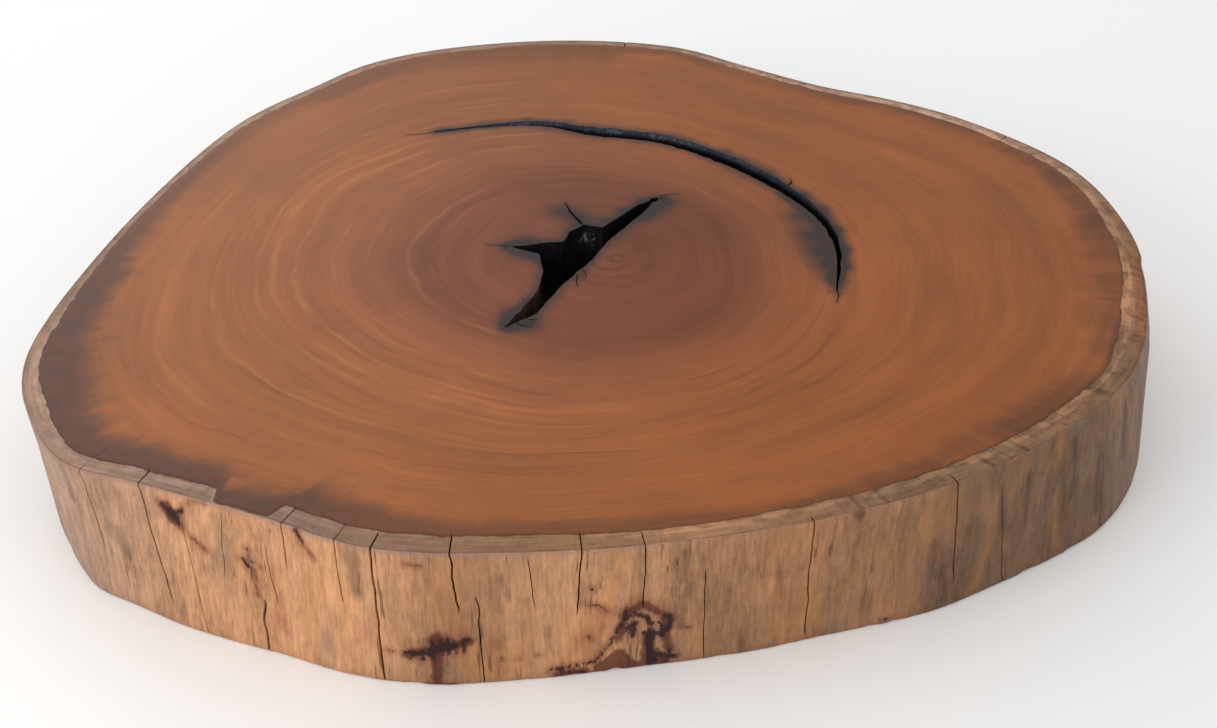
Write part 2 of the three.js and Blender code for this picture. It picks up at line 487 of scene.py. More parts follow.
class Builder:
    # gathers points, faces and the values that the finishes read
    def __init__(self):
        self.points, self.faces, self.zones = [], [], []
        # the third value marks where the finishes paint shade into the splits and checks
        self.values = {"bandDepth": [], "edgeGap": [], "groove": []}
        self.count = 0

    def add(self, xyz, bandDepth=99.0, edgeGap=99.0, groove=0.0):
        xyz = np.asarray(xyz, float)
        self.points.append(xyz)
        for name, value in (("bandDepth", bandDepth), ("edgeGap", edgeGap), ("groove", groove)):
            self.values[name].append(np.broadcast_to(value, (len(xyz),)).astype(float))
        start = self.count
        self.count += len(xyz)
        return np.arange(start, self.count)

    def strip(self, upper, lower, zone):
        # quads between two closed rows of the same length
        after = np.roll(np.arange(len(upper)), -1)
        quads = np.stack([upper, lower, lower[after], upper[after]], 1)
        self.cover(quads.tolist(), zone)

    def cover(self, faces, zone):
        self.faces.extend(faces)
        self.zones.extend([finishNumber[zone]] * len(faces))


def checkShift(arcs, z, arcAt, around):
    # sideways drift of the columns, so that they follow the wandering checks
    shift = np.zeros(len(arcs))
    for number, check in enumerate(checks):
        start, end = arcAt(check[0]), arcAt(check[1])
        drift = shortWay(end - start, around)
        part = np.clip((check[2] - z) / max(check[2] - check[3], 1), 0, 1)
        spot = np.array([[number * 7.3, z / 17.0, 0.5], [number * 7.3, z / 6.0, 9.5]])
        wander = latticeNoise(spot, 31) * np.array([1.6, 0.6])
        gap = shortWay(arcs - start, around)
        shift += (drift * part + wander.sum()) * np.exp(-(gap / 20) ** 2)
    return shift


def buildWall(builder):
    arcs, owner, arcAt, around, run, dense = buildRim()
    body = [(z, ring) for z, ring in wallRings if 1 < z < topZ - 1]
    levels = np.array([z for z, ring in body])
    rows = list(np.linspace(topZ - 3, 4, rim["rows"]))
    rowsZ = [topZ - 1.0] + rows + [1.2, 0.0]
    rowsIn = [0.9] + [0.0] * len(rows) + [0.8, 2.2]
    path = placeAt(body[-1][1], arcs, run, dense)
    azTop = azimuthOf(path)
    owned = owner >= 0
    part = [checks[k] if k >= 0 else (0, 0, 0, 0, 0, 0) for k in owner]
    upper, lower, widths, across = (np.array([row[k] for row in part]) for k in (2, 3, 4, 5))

    # the top band, from the arris inwards
    normal = outNormals(path, 3)
    broad = outNormals(path, 14)
    flat = np.zeros(len(arcs))
    span = aroundTable(rim["sapwood"], azTop)
    shoulder = aroundTable(rim["shoulder"], azTop)
    bandRows = []
    for inset in rim["insets"]:
        lean = min(1, inset / 20)
        way = normal * (1 - lean) + broad * lean
        way /= np.linalg.norm(way, axis=1, keepdims=True)
        place = path - way * inset
        spot = np.column_stack([place, flat])
        ragged = grainNoise(spot, (9, 9, 9), 3, 3) * 1.6 + grainNoise(spot, (40, 40, 9), 5) * 1.3
        depth = inset - span + ragged
        onBand = ramp(1.2, -1.2, depth)
        rough = grainNoise(spot, (3.5, 3.5, 9), 7) * 0.22 * onBand
        blocks = np.round(grainNoise(spot, (24, 24, 9), 21) * 2) * 0.35 * onBand
        worn = np.maximum(0, grainNoise(spot, (26, 26, 9), 8) - 0.15) * 2.2 * ramp(6, 1, flat + inset)
        z = topZ - 0.7 * onBand - np.abs(blocks) + rough * ramp(36, 28, flat + inset) - worn
        z -= rim["shoulderDrop"] * shoulder * np.clip(1 - inset / rim["shoulderReach"], 0, 1) ** 1.6
        # how far a check runs into the band, which also marks the painted shade inside it
        reach = np.where(owned & (across > 0), np.clip((span * across + 2 - inset) / 4, 0, 1), 0)
        z = np.minimum(z - (0.8 + 1.4 * widths) * reach, topZ)
        bandRows.append(builder.add(np.column_stack([place, z]), depth, inset, reach))
    for outer, inner in zip(bandRows, bandRows[1:]):
        builder.strip(inner, outer, "top")
    previous = bandRows[0]

    # the wall, downwards
    for z, inset in zip(rowsZ, rowsIn):
        shifted = arcs + checkShift(arcs, z, arcAt, around) * min(1, (topZ - z) / 8)
        sides = np.stack([placeAt(ring, shifted, run, dense) for level, ring in body])
        if z >= levels[-1]:
            place = sides[-1]
        elif z <= levels[0]:
            place = sides[0]
        else:
            k = np.searchsorted(levels, z) - 1
            share = (z - levels[k]) / (levels[k + 1] - levels[k])
            place = sides[k] * (1 - share) + sides[k + 1] * share
        way = outNormals(place, 3)
        spot = atHeight(place, z)
        fade = min(1, (topZ - z) / 25)
        relief = grainNoise(spot, (95, 95, 260), 11) * rim["fluting"] * fade
        relief += grainNoise(spot, (19, 19, 150), 13) * rim["ridges"] * min(1, fade + 0.3)
        relief += grainNoise(spot, (6, 6, 60), 17) * rim["fibres"]
        relief += np.maximum(0, grainNoise(spot, (34, 34, 60), 29) - 0.2) * 1.6 * fade
        chip = np.maximum(0, grainNoise(spot, (14, 14, 60), 19) - 0.25) * 4 * ramp(9, 0, flat + z)
        # how far a check is opened, which also marks the painted shade inside it
        opened = ramp(0, 9, upper - z) * ramp(0, 12, z - lower) * owned
        place = place - way * (inset + chip - relief + widths * opened * 3.4)[:, None]
        drop = shoulder * rim["shoulderDrop"] * ramp(topZ - 34, topZ, flat + z)
        row = builder.add(np.column_stack([place, z - drop]), -20.0, -5.0, opened)
        builder.strip(previous, row, "wall")
        previous = row
    return bandRows[-1], previous


def crackEdge(loop, seed):
    # a finer, more ragged version of a crack's outline
    line = resample(loop, cracks["spacing"])
    spot = atHeight(line)
    rough = grainNoise(spot, (7, 7, 7), seed, 2) * cracks["rough"]
    chips = np.maximum(0, grainNoise(spot, (15, 15, 15), seed + 5) - 0.35) * 5
    return line + outNormals(line, 1) * (rough + chips)[:, None]


def buildCrack(builder, loop, lip, bulge, seed):
    # returns the row at the top, which bounds the top face, and the row at the underside
    out = outNormals(loop, 2)
    count = len(loop)
    depths = np.concatenate([[0, 0.8, 2.2, 4.5, 8], np.linspace(13, topZ, cracks["rows"])])
    previous, first = None, None
    for depth in depths:
        spot = np.column_stack([loop, np.full(count, depth)])
        down = np.full(count, depth)
        opening = ramp(3, 16, down) * cracks["widening"]
        wave = 0.5 + 0.5 * grainNoise(spot, (11, 11, 70), seed, 2)
        wave = wave + 0.35 * grainNoise(spot, (5, 5, 60), seed + 9)
        ledge = np.maximum(0, grainNoise(spot, (22, 22, 30), seed + 3)) * 2.5
        move = opening * wave + ledge * ramp(4, 14, down) + lip * ramp(9, 0, down)
        if bulge is not None:
            x, y, reach, push = bulge
            near = np.exp(-((loop[:, 0] - x) ** 2 + (loop[:, 1] - y) ** 2) / reach ** 2)
            move = move - near * push * ramp(3, 26, down) * ramp(140, 60, down)
        place = loop + out * move[:, None]
        row = builder.add(np.column_stack([place, topZ - down]))
        if previous is None:
            first = row
        else:
            builder.strip(row, previous, "crack")
        previous = row
    return first, previous


def hexGrid(loop, spacing, seed):
    lowX, lowY = loop.min(0)
    highX, highY = loop.max(0)
    rows = np.arange(lowY, highY, spacing * 0.866)
    grid = []
    for k, y in enumerate(rows):
        x = np.arange(lowX + (k % 2) * spacing / 2, highX, spacing)
        grid.append(atHeight(x, y))
    grid = np.vstack(grid)
    jitter = np.random.default_rng(seed).uniform(-0.18, 0.18, grid.shape) * spacing
    return grid + jitter


def fillFace(builder, outer, holes, lines, zone, z, seed):
    # triangulates between an outer row, hole rows and open split lines
    spacing = faceSpacing[zone]
    everything = np.concatenate(builder.points)
    loops = [outer] + holes
    known = np.concatenate(loops)
    rimLine = everything[outer][:, :2]
    holeLines = [everything[hole][:, :2] for hole in holes]
    grid = hexGrid(rimLine, spacing, seed)
    good = inside(rimLine, grid) & (gapTo(rimLine[::2], grid) > spacing * 0.55)
    for line in holeLines:
        good &= ~inside(line, grid) & (gapTo(line[::2], grid) > spacing * 0.5)
    for line, width, depth in lines:
        good &= gapTo(np.array(line, float), grid, False) > spacing * 0.6
    grid = grid[good]
    edges, start = [], 0
    for loop in loops:
        n = len(loop)
        edges += [(start + k, start + (k + 1) % n) for k in range(n)]
        start += n
    points = [atHeight(grid, z)]
    grooves = [np.zeros(len(grid))]
    start += len(grid)
    for line, width, depth in lines:
        way = resample(np.array(line, float), 3.0, False)
        clear = np.min([gapTo(hole, way) for hole in holeLines], axis=0) > width / 2 + cracks["clearance"]
        clear &= ~np.any([inside(hole, way) for hole in holeLines], axis=0)
        way = way[clear]
        if len(way) < 3:
            continue
        along = np.gradient(way, axis=0)
        side = np.stack([-along[:, 1], along[:, 0]], 1)
        side /= np.linalg.norm(side, axis=1, keepdims=True)
        t = np.linspace(0, 1, len(way))
        half = width / 2 * np.sqrt(np.clip(1 - t, 0, 1)) + 0.05
        deep = depth * np.sin(np.pi * np.clip(t * 0.9 + 0.1, 0, 1)) ** 0.5
        for offset, dip in ((-1, 0), (0, 1), (1, 0)):
            row = way + side * (half * offset)[:, None]
            points.append(np.column_stack([row, z - deep * dip]))
            # the middle of a split gets full painted shade, its sides a part of it
            grooves.append(np.full(len(row), 0.35 + 0.65 * dip))
            edges += [(start + k, start + k + 1) for k in range(len(row) - 1)]
            start += len(row)
    points = np.vstack(points)
    coords = np.vstack([everything[known][:, :2], points[:, :2]])
    result = delaunay_2d_cdt([Vector(p) for p in coords], edges, [], 0, 1e-6)
    verts, faces, source = result[0], result[2], result[3]
    flat = np.array([[v.x, v.y] for v in verts])
    ids = builder.add(points, groove=np.concatenate(grooves))
    lookup = np.concatenate([known, ids])
    origin = np.array([lookup[s[0]] if s else -1 for s in source])
    crossing = np.flatnonzero(origin < 0)
    if len(crossing):
        origin[crossing] = builder.add(np.column_stack([flat[crossing], np.full(len(crossing), z)]))
    triangles = np.array(faces)
    middle = flat[triangles].mean(1)
    keep = inside(rimLine, middle)
    for line in holeLines:
        keep &= ~inside(line, middle)
    triangles = triangles[keep]
    a, b, c = (flat[triangles[:, k]] for k in range(3))
    turn = (b[:, 0] - a[:, 0]) * (c[:, 1] - a[:, 1]) - (b[:, 1] - a[:, 1]) * (c[:, 0] - a[:, 0])
    mapped = origin[triangles]
    flip = (turn > 0) != (zone == "top")
    mapped[flip] = mapped[flip][:, ::-1]
    builder.cover(mapped.tolist(), zone)


def ringLevels(xy):
    # how far out a point is, counted in growth rings
    pith = np.array(rings["pith"], float)
    away = xy - pith
    radius = np.hypot(*away.T)
    azimuth = azimuthOf(away)
    rimPath = ringOn(wallRings[-2][1], np.linspace(0, len(wallRings[-2][1]), 720, endpoint=False))
    rimAway = rimPath - pith
    rimTable = sorted(zip(azimuthOf(rimAway), np.hypot(*rimAway.T)))
    core = aroundTable(smoothTable(rings["core"]), azimuth)
    shake = aroundTable(smoothTable(rings["shake"]), azimuth)
    edge = aroundTable(rimTable, azimuth)
    first, second, last = rings["coreLevel"], rings["shakeLevel"], rings["rimLevel"]
    between = first + (radius - core) / (shake - core) * (second - first)
    beyond = second + (radius - shake) / (edge - shake) * (last - second)
    level = np.where(radius < core, radius / core * first, np.where(radius < shake, between, beyond))
    return level


def smoothTable(table):
    # the same table with rounded corners
    turns = np.arange(0, 360, 2.0)
    values = aroundTable(table, turns)
    kernel = np.exp(-(np.arange(-9, 10) / 4.5) ** 2)
    wide = np.convolve(np.tile(values, 3), kernel / kernel.sum(), "same")
    return list(zip(turns, wide[len(turns):2 * len(turns)]))


def setValues(mesh, name, values):
    kind = "FLOAT_COLOR" if np.ndim(values) == 2 else "FLOAT"
    layer = mesh.attributes.new(name, kind, "POINT")
    field = "color" if kind == "FLOAT_COLOR" else "value"
    layer.data.foreach_set(field, np.asarray(values, np.float32).ravel())


def strokeGap(kind, azimuth, height):
    # distance in millimetres to the nearest stroke of a kind, less its half width, cut off at 20
    scale = np.array([degreeRun, 1.0])
    where = np.column_stack([azimuth, height]) * scale
    best = np.full(len(where), 20.0)
    for stain in stains.values():
        for line, half in stain.get(kind, []):
            path = np.array(line, float) + (stain["at"] * degreeRun, 0)
            best = np.minimum(best, gapTo(path, where, False) - half)
    if kind == "weather":
        for turn, top, foot, half in weathering:
            path = np.array([(turn, top), (turn + 0.5, foot)]) * scale
            best = np.minimum(best, gapTo(path, where, False) - half)
    return best


def smokeAt(xy, edges):
    total = np.zeros(len(xy))
    for x, y, reach, strength in smoke:
        gap = np.hypot(xy[:, 0] - x, xy[:, 1] - y)
        total += strength * np.exp(-(gap / reach) ** 1.6)
    spot = atHeight(xy)
    uneven = 1 + 0.45 * grainNoise(spot, (28, 28, 28), 91)
    for edge in edges:
        total += 0.95 * np.exp(-(gapTo(edge[::2], xy) / (9.0 * uneven)) ** 2)
    return total


def buildSlice():
    builder = Builder()
    topRow, footRow = buildWall(builder)
    print("wall and sapwood band:", builder.count, "points")
    hollowEdge = crackEdge(hollowLoop, 41)
    shakeEdge = crackEdge(shakeLoop, 53)
    pith = np.array(rings["pith"], float)
    outward = np.einsum("ij,ij->i", outNormals(shakeEdge, 2), shakeEdge - pith) > 0
    spot = atHeight(shakeEdge)
    blocks = np.clip(0.7 + np.round(grainNoise(spot, (17, 17, 17), 81) * 3) * 0.25, 0.2, 1.4)
    lip = aroundTable(cracks["lip"], azimuthOf(shakeEdge - pith)) * blocks * outward
    spot = atHeight(hollowEdge)
    rimLip = 0.2 + 0.5 * grainNoise(spot, (9, 9, 9), 83)
    hollowTop, hollowFoot = buildCrack(builder, hollowEdge, rimLip, cracks["bulge"], 61)
    shakeTop, shakeFoot = buildCrack(builder, shakeEdge, lip + 0.3, None, 71)
    print("cracks:", builder.count, "points")
    fillFace(builder, topRow, [hollowTop, shakeTop], cracks["hairlines"], "top", topZ, 5)
    fillFace(builder, footRow, [hollowFoot, shakeFoot], [], "underside", 0.0, 6)
    print("faces closed:", len(builder.faces))

    points = np.concatenate(builder.points)
    mesh = bpy.data.meshes.new("woodSlice")
    mesh.from_pydata((points * mm).tolist(), [], builder.faces)
    zones = np.array(builder.zones)
    mesh.polygons.foreach_set("material_index", zones.astype(np.int32))
    mesh.polygons.foreach_set("use_smooth", np.ones(len(zones), bool))
    mesh.set_sharp_from_angle(angle=math.radians(35))
    values = {name: np.concatenate(parts) for name, parts in builder.values.items()}
    azimuth = azimuthOf(points[:, :2])
    rimLine = points[topRow][:, :2]
    upper = points[:, 2] > topZ - 15
    inner = upper & (values["bandDepth"] > 90)
    gap = gapTo(rimLine, points[inner][:, :2]) + rim["insets"][-1]
    values["edgeGap"][inner] = gap
    values["bandDepth"][inner] = gap - aroundTable(rim["sapwood"], azimuth[inner])
    values["ringLevel"] = ringLevels(points[:, :2])
    values["marginWidth"] = aroundTable(rim["margin"], azimuth)
    values["marginStrength"] = aroundTable(rim["marginStrength"], azimuth)
    values["shoulder"] = aroundTable(rim["shoulder"], azimuth)
    values["sapwoodTone"] = toneTable(rim["sapwoodTone"], azimuth)
    values["wallToneAndPaintedLight"] = toneTable(rim["wallToneAndPaintedLight"], azimuth)
    puff = np.zeros(len(points))
    puff[upper] = smokeAt(points[upper][:, :2], [points[hollowTop][:, :2], points[shakeTop][:, :2]])
    values["smoke"] = puff
    for kind in ("ink", "blush", "faint", "weather"):
        values[kind + "Gap"] = strokeGap(kind, azimuth, points[:, 2])
    for name, value in values.items():
        setValues(mesh, name, value)
    mesh.update()
    piece = bpy.data.objects.new("woodSlice", mesh)
    bpy.context.collection.objects.link(piece)
    return piece


class Nodes:
    # short names for the few node kinds that the finishes use
    def __init__(self, name):
        self.material = bpy.data.materials.new(name)
        self.material.use_nodes = True
        self.tree = self.material.node_tree
        self.shader = self.tree.nodes["Principled BSDF"]

    def link(self, source, socket):
        if isinstance(source, (int, float)):
            socket.default_value = source
        elif isinstance(source, tuple):
            socket.default_value = (*source, 1) if len(source) == 3 and socket.type == "RGBA" else source
        else:
            self.tree.links.new(source, socket)

    def node(self, kind, inputs, **settings):
        node = self.tree.nodes.new("ShaderNode" + kind)
        for name, value in settings.items():
            setattr(node, name, value)
        for name, source in inputs.items():
            self.link(source, node.inputs[name])
        return node.outputs

    def value(self, name):
        return self.node("Attribute", {}, attribute_name=name)["Fac"]

    def colour(self, name):
        return self.node("Attribute", {}, attribute_name=name)["Color"]

    def part(self, vector, axis):
        return self.node("SeparateXYZ", {0: vector})[axis]

    def place(self):
        return self.node("TexCoord", {})["Object"]

    def math(self, kind, a, b=0.0):
        return self.node("Math", {0: a, 1: b}, operation=kind)[0]

    def plus(self, a, b):
        return self.math("ADD", a, b)

    def minus(self, a, b):
        return self.math("SUBTRACT", a, b)

    def times(self, a, b):
        return self.math("MULTIPLY", a, b)

    def vector(self, kind, a, b=(0, 0, 0)):
        return self.node("VectorMath", {0: a, "Scale" if kind == "SCALE" else 1: b}, operation=kind)[0]

    def scaled(self, vector, size):
        return self.vector("SCALE", vector, size)

    def tinted(self, colour, tint):
        return self.vector("MULTIPLY", colour, tint)

    def upright(self, place, share):
        # heights count for less, so a pattern is drawn out along the trunk
        return self.vector("MULTIPLY", place, (1, 1, share))

    def noise(self, vector, scale=1.0, detail=2.0, rough=0.5, w=None, distortion=0.0):
        inputs = {"Vector": vector, "Scale": scale, "Detail": detail, "Roughness": rough,
                  "Distortion": distortion}
        if w is not None:
            inputs["W"] = w
        return self.node("TexNoise", inputs, noise_dimensions="3D" if w is None else "4D")["Fac"]

    def layered(self, place, scale, level, density, detail=2, rough=0.5):
        # a noise in thin layers along a level, such as the growth rings
        return self.noise(self.scaled(place, scale), 1, detail, rough, self.times(level, density))

    def varied(self, base, noise, amount):
        # the base, moved up and down by a noise whose middle is 0.5
        return self.plus(base, self.times(self.minus(noise, 0.5), amount))

    def range(self, value, start, end, low=0.0, high=1.0, smooth=True):
        inputs = {"Value": value, "From Min": start, "From Max": end, "To Min": low, "To Max": high}
        kind = "SMOOTHSTEP" if smooth else "LINEAR"
        return self.node("MapRange", inputs, interpolation_type=kind)["Result"]

    def mix(self, part, a, b):
        inputs = {"Factor": part, "A": a, "B": b}
        return self.node("Mix", inputs, data_type="RGBA", clamp_factor=True)["Result"]

    def mixValue(self, part, a, b):
        return self.node("Mix", {"Factor": part, "A": a, "B": b})["Result"]

    def colours(self, value, stops):
        node = self.tree.nodes.new("ShaderNodeValToRGB")
        while len(node.color_ramp.elements) < len(stops):
            node.color_ramp.elements.new(0.5)
        for element, (spot, colour) in zip(node.color_ramp.elements, stops):
            element.position = spot
            element.color = (*colour, 1)
        self.link(value, node.inputs["Fac"])
        return node.outputs["Color"]

    def bump(self, height, distance, strength):
        return self.node("Bump", {"Strength": strength, "Distance": distance, "Height": height})["Normal"]

    def finish(self, colour, roughness, normal=None, specular=0.5):
        self.link(colour, self.shader.inputs["Base Color"])
        self.link(roughness, self.shader.inputs["Roughness"])
        if normal is not None:
            self.link(normal, self.shader.inputs["Normal"])
        self.shader.inputs["Specular IOR Level"].default_value = specular
        return self.material


heartwood = {
    "core": paint(115, 60, 31), "middle": paint(141, 79, 40), "outer": paint(147, 84, 37),
    "dark": paint(66, 39, 26), "darkGrey": paint(68, 45, 39), "pale": paint(190, 124, 68),
    # the colour for the insides of the hairline splits and of the checks across the band is painted shade
    "line": paint(96, 44, 20), "smoke": paint(30, 26, 29), "crackShade": (0.006, 0.005, 0.005),
    # painted sheen: the top is tinted bluer on the left, where a haze of sheen lies, and warmer on the
    # right, where there is less of it
    "sheenTintLeft": (1.03, 1.06, 1.24), "sheenTintRight": (1.05, 0.98, 0.84),
    "brightness": 0.98, "duller": 0.07, "dullerBack": 0.04,  # how much darker to the right, as painted shade, and to the back
    "roughness": 0.50, "gloss": 0.24, "poreDepth": 0.0008,
    "sway": 22, "kink": 6,  # how far the rings wander, in levels
    # the ring pattern, coarse to fine: size, layers to a level, detail, roughness and strength
    "pattern": [(2.2, 0.030, 2, 0.5, 0.48), (5.5, 0.105, 2, 0.55, 0.40), (11, 0.34, 3, 0.6, 0.50)],
    "blotch": 0.52, "streaks": 0.22, "pithMarks": 0.75, "flecks": 0.35, "scorch": 0.93,
    # pale and dark growth lines: level, width and strength
    "paleLines": [(150, 4, 0.35), (168, 5, 0.55), (205, 4, 0.3), (236, 5, 0.8), (268, 5, 1.0),
                  (286, 5, 0.9), (302, 6, 0.8), (328, 4, 0.35), (352, 6, 0.7), (406, 6, 0.55)],
    "darkLines": [(247, 5, 0.8), (271, 4, 0.8), (299, 5, 0.9), (327, 4, 0.8), (355, 5, 0.8),
                  (392, 5, 0.5), (430, 4, 0.4)],
    "paleStrength": 0.50, "darkStrength": 0.55,
}


def lineStops(lines):
    # stops for a grey ramp that rises at each line
    stops = [(0.0, 0.0)]
    for level, width, strength in lines:
        stops += [(level - width * 0.45, 0.0), (level, strength), (level + width, 0.0)]
    return [(level / rings["rimLevel"], (value, value, value)) for level, value in stops]


def heartwoodShade(n, flat, level, toRight, toBack):
    ringSpot = n.math("DIVIDE", level, rings["rimLevel"])
    base = n.colours(ringSpot, [
        (0.0, heartwood["core"]), (0.30, heartwood["core"]), (0.42, heartwood["middle"]),
        (0.62, heartwood["outer"]), (1.0, heartwood["outer"])])
    # painted shade: the heartwood is made darker to the right; it is also made a little darker to the back
    tone = n.minus(heartwood["brightness"], n.times(toRight, heartwood["duller"]))
    tone = n.minus(tone, n.times(toBack, heartwood["dullerBack"]))
    # painted sheen: bluer to the left, warmer to the right
    tint = n.mix(n.range(toRight, -0.7, 0.9), heartwood["sheenTintLeft"], heartwood["sheenTintRight"])
    for size, density, detail, rough, strength in heartwood["pattern"]:
        fine = n.layered(flat, size, level, density, detail, rough)
        tone = n.varied(tone, fine, strength)
    tone = n.varied(tone, n.noise(flat, 5.5, 3, 0.55), heartwood["blotch"])
    shade = n.scaled(n.tinted(base, tint), tone)
    # brighter streaks along the rings
    warm = n.range(n.layered(flat, 4, level, 0.06), 0.52, 0.75)
    shade = n.mix(n.times(warm, heartwood["streaks"]), shade, n.scaled(shade, 1.35))
    # separate growth lines, pale ones to the left and dark ones to the front
    broken = n.range(n.noise(flat, 10, 2, 0.6), 0.36, 0.62)
    shown = n.times(broken, n.range(toRight, 0.35, -0.65))
    pale = n.times(n.colours(ringSpot, lineStops(heartwood["paleLines"])), shown)
    shade = n.mix(n.times(pale, heartwood["paleStrength"]), shade, heartwood["pale"])
    broken = n.range(n.noise(n.vector("ADD", flat, (3, 1, 0)), 9, 2, 0.6), 0.40, 0.62)
    shown = n.times(broken, n.range(toBack, 0.5, -0.75, 0.10, 1.0))
    dim = n.times(n.colours(ringSpot, lineStops(heartwood["darkLines"])), shown)
    shade = n.mix(n.times(dim, heartwood["darkStrength"]), shade, heartwood["line"])
    # tiny dark rings about the pith, fine grain, and flecks here and there
    small = n.range(n.layered(flat, 22, level, 0.22, 1), 0.46, 0.58)
    near = n.range(level, 25, 95, 1, 0)
    shade = n.mix(n.times(n.times(small, near), heartwood["pithMarks"]), shade, heartwood["line"])
    grain = n.layered(flat, 46, level, 0.9, 3, 0.7)
    shade = n.scaled(shade, n.range(grain, 0.25, 0.75, 0.89, 1.11, False))
    fleck = n.range(n.noise(flat, 170, 2, 0.6), 0.66, 0.72)
    flecked = n.times(fleck, n.range(n.noise(flat, 12, 2, 0.5), 0.50, 0.66))
    return n.mix(n.times(flecked, heartwood["flecks"]), shade, heartwood["line"]), fine


def darkMargin(n, flat, level, heading, toRight, depth, shade):
    # dark feathered edge of the heartwood
    rays = n.layered(heading, 30, level, 0.012, 2, 0.65)
    ragged = n.plus(n.times(rays, 0.95), n.times(n.noise(flat, 17, 3, 0.55), 1.05))
    reach = n.times(n.value("marginWidth"), n.minus(ragged, 0.02))
    soft = n.range(n.math("DIVIDE", depth, reach), 0.42, 1.34, 0.92, 0.0)
    close = n.times(n.range(depth, 1.0, 14.0, 1.0, 0.0), n.range(toRight, 0.1, 0.8, 0.45, 0.72))
    dark = n.math("MAXIMUM", n.times(soft, n.value("marginStrength")), close)
    dark = n.times(dark, n.range(n.noise(flat, 44, 3, 0.6), 0.25, 0.65, 0.86, 1.0))
    gaps = n.range(n.noise(n.scaled(heading, 9), 1, 3, 0.65, 0.0), 0.38, 0.58, 0.40, 1.0)
    dark = n.times(dark, n.mixValue(n.range(toRight, -0.1, 0.6), 1.0, gaps))
    ink = n.mix(n.range(toRight, 0.2, -0.7), heartwood["dark"], heartwood["darkGrey"])
    return n.mix(dark, shade, ink)


sapwood = {
    "worn": paint(138, 88, 60), "edgeLine": paint(84, 60, 48), "border": paint(58, 36, 26),
    "lines": 1.05, "sawMarks": 0.45, "splits": 0.7,  # strengths
    "rougher": 0.28,                                 # than the heartwood
}


def sandedTop():
    n = Nodes("sandedTop")
    flat = n.upright(n.place(), 0)
    away = n.vector("SUBTRACT", flat, (rings["pith"][0] * mm, rings["pith"][1] * mm, 0))
    heading = n.vector("NORMALIZE", away)
    toRight = n.part(heading, 0)
    toBack = n.part(heading, 1)
    # growth rings wander a little
    level = n.varied(n.value("ringLevel"), n.noise(flat, 8, 2, 0.5), heartwood["sway"])
    level = n.varied(level, n.noise(flat, 26, 1, 0.5), heartwood["kink"])
    shade, fine = heartwoodShade(n, flat, level, toRight, toBack)
    depth = n.value("bandDepth")
    shade = darkMargin(n, flat, level, heading, toRight, depth, shade)
    # sapwood band: blocks and thin lines that follow the edge, and splits across them
    cut = n.varied(depth, n.noise(flat, 150, 2, 0.6), 2.6)
    sap = n.range(cut, -0.4, 0.5, 1, 0)
    edgeGap = n.value("edgeGap")
    lines = n.layered(flat, 14, edgeGap, 0.42, 2, 0.6)
    block = n.range(n.layered(flat, 52, edgeGap, 0.09, 1), 0.42, 0.58)
    bright = n.varied(1.0, lines, sapwood["lines"])
    bright = n.varied(bright, block, n.range(toRight, -0.3, 0.6, 0.12, 0.26))
    bright = n.varied(bright, n.noise(flat, 240, 2, 0.6), sapwood["sawMarks"])
    splits = n.math("ABSOLUTE", n.minus(n.noise(n.scaled(heading, 34), 1, 1, 0.5, 0.0), 0.5))
    splits = n.times(n.range(splits, 0.004, 0.014, 1, 0), n.range(toRight, 0.0, 0.5, 0.25, 1.0))
    bright = n.minus(bright, n.times(n.times(splits, lines), sapwood["splits"]))
    inner = n.times(n.range(depth, -11.0, -6.0), n.range(toRight, -0.2, 0.6, 0.12, 0.30))
    bright = n.plus(bright, n.times(inner, n.plus(block, 0.4)))
    sapTone = n.scaled(n.colour("sapwoodTone"), bright)
    worn = n.times(n.value("shoulder"), n.range(edgeGap, 14.5, 12.0, 0, 0.75))
    sapTone = n.mix(worn, sapTone, n.scaled(sapwood["worn"], bright))
    sapTone = n.mix(n.range(edgeGap, 1.2, 4.0, 0.45, 0.0), sapTone, sapwood["edgeLine"])
    shade = n.mix(sap, shade, sapTone)
    border = n.range(n.math("ABSOLUTE", n.plus(cut, -0.2)), 0.3, 1.3, 0.55, 0.0)
    shade = n.mix(border, shade, sapwood["border"])
    # scorched halo round the cracks
    puff = n.varied(n.value("smoke"), n.noise(flat, 90, 4, 0.7), 0.20)
    shade = n.mix(n.range(puff, -0.06, 1.30, 0.0, heartwood["scorch"]), shade, heartwood["smoke"])
    # painted shade, darkening the insides of the hairline splits and of the checks across the band
    shade = n.mix(n.range(n.value("groove"), 0.1, 0.6), shade, heartwood["crackShade"])
    rough = n.plus(heartwood["roughness"], n.times(sap, sapwood["rougher"]))
    rough = n.varied(rough, fine, 0.10)
    height = n.times(n.noise(flat, 620, 2, 0.6), n.plus(0.12, sap))
    height = n.plus(height, n.times(n.times(lines, 1.2), sap))
    return n.finish(shade, rough, n.bump(height, heartwood["poreDepth"], 0.4), heartwood["gloss"])


outerWood = {
    "tone": 0.90, "patches": 0.68, "streaks": 0.68, "mottle": 0.80, "fibres": 1.08,
    "gold": paint(206, 140, 78), "goldStrength": 0.24, "grey": paint(120, 100, 92), "greyStrength": 0.42,
    "cream": 0.26, "murk": 0.30, "murkTint": (0.66, 0.60, 0.56),
    "dash": paint(84, 54, 36), "dashStrength": 0.66, "rimLine": paint(150, 118, 110),
    "weather": paint(70, 56, 50), "weatherStrength": 0.72, "soil": 0.35,
    "inkHalo": (0.45, 0.30, 0.34), "faintTint": (0.62, 0.40, 0.34), "blushTint": (0.34, 0.20, 0.20),
    # the colour for the insides of the wall's checks is painted shade
    "blush": paint(88, 42, 34), "ink": paint(38, 20, 24), "crackShade": (0.014, 0.007, 0.005),
    "roughness": 0.62, "gloss": 0.20, "grainDepth": 0.0010,
}


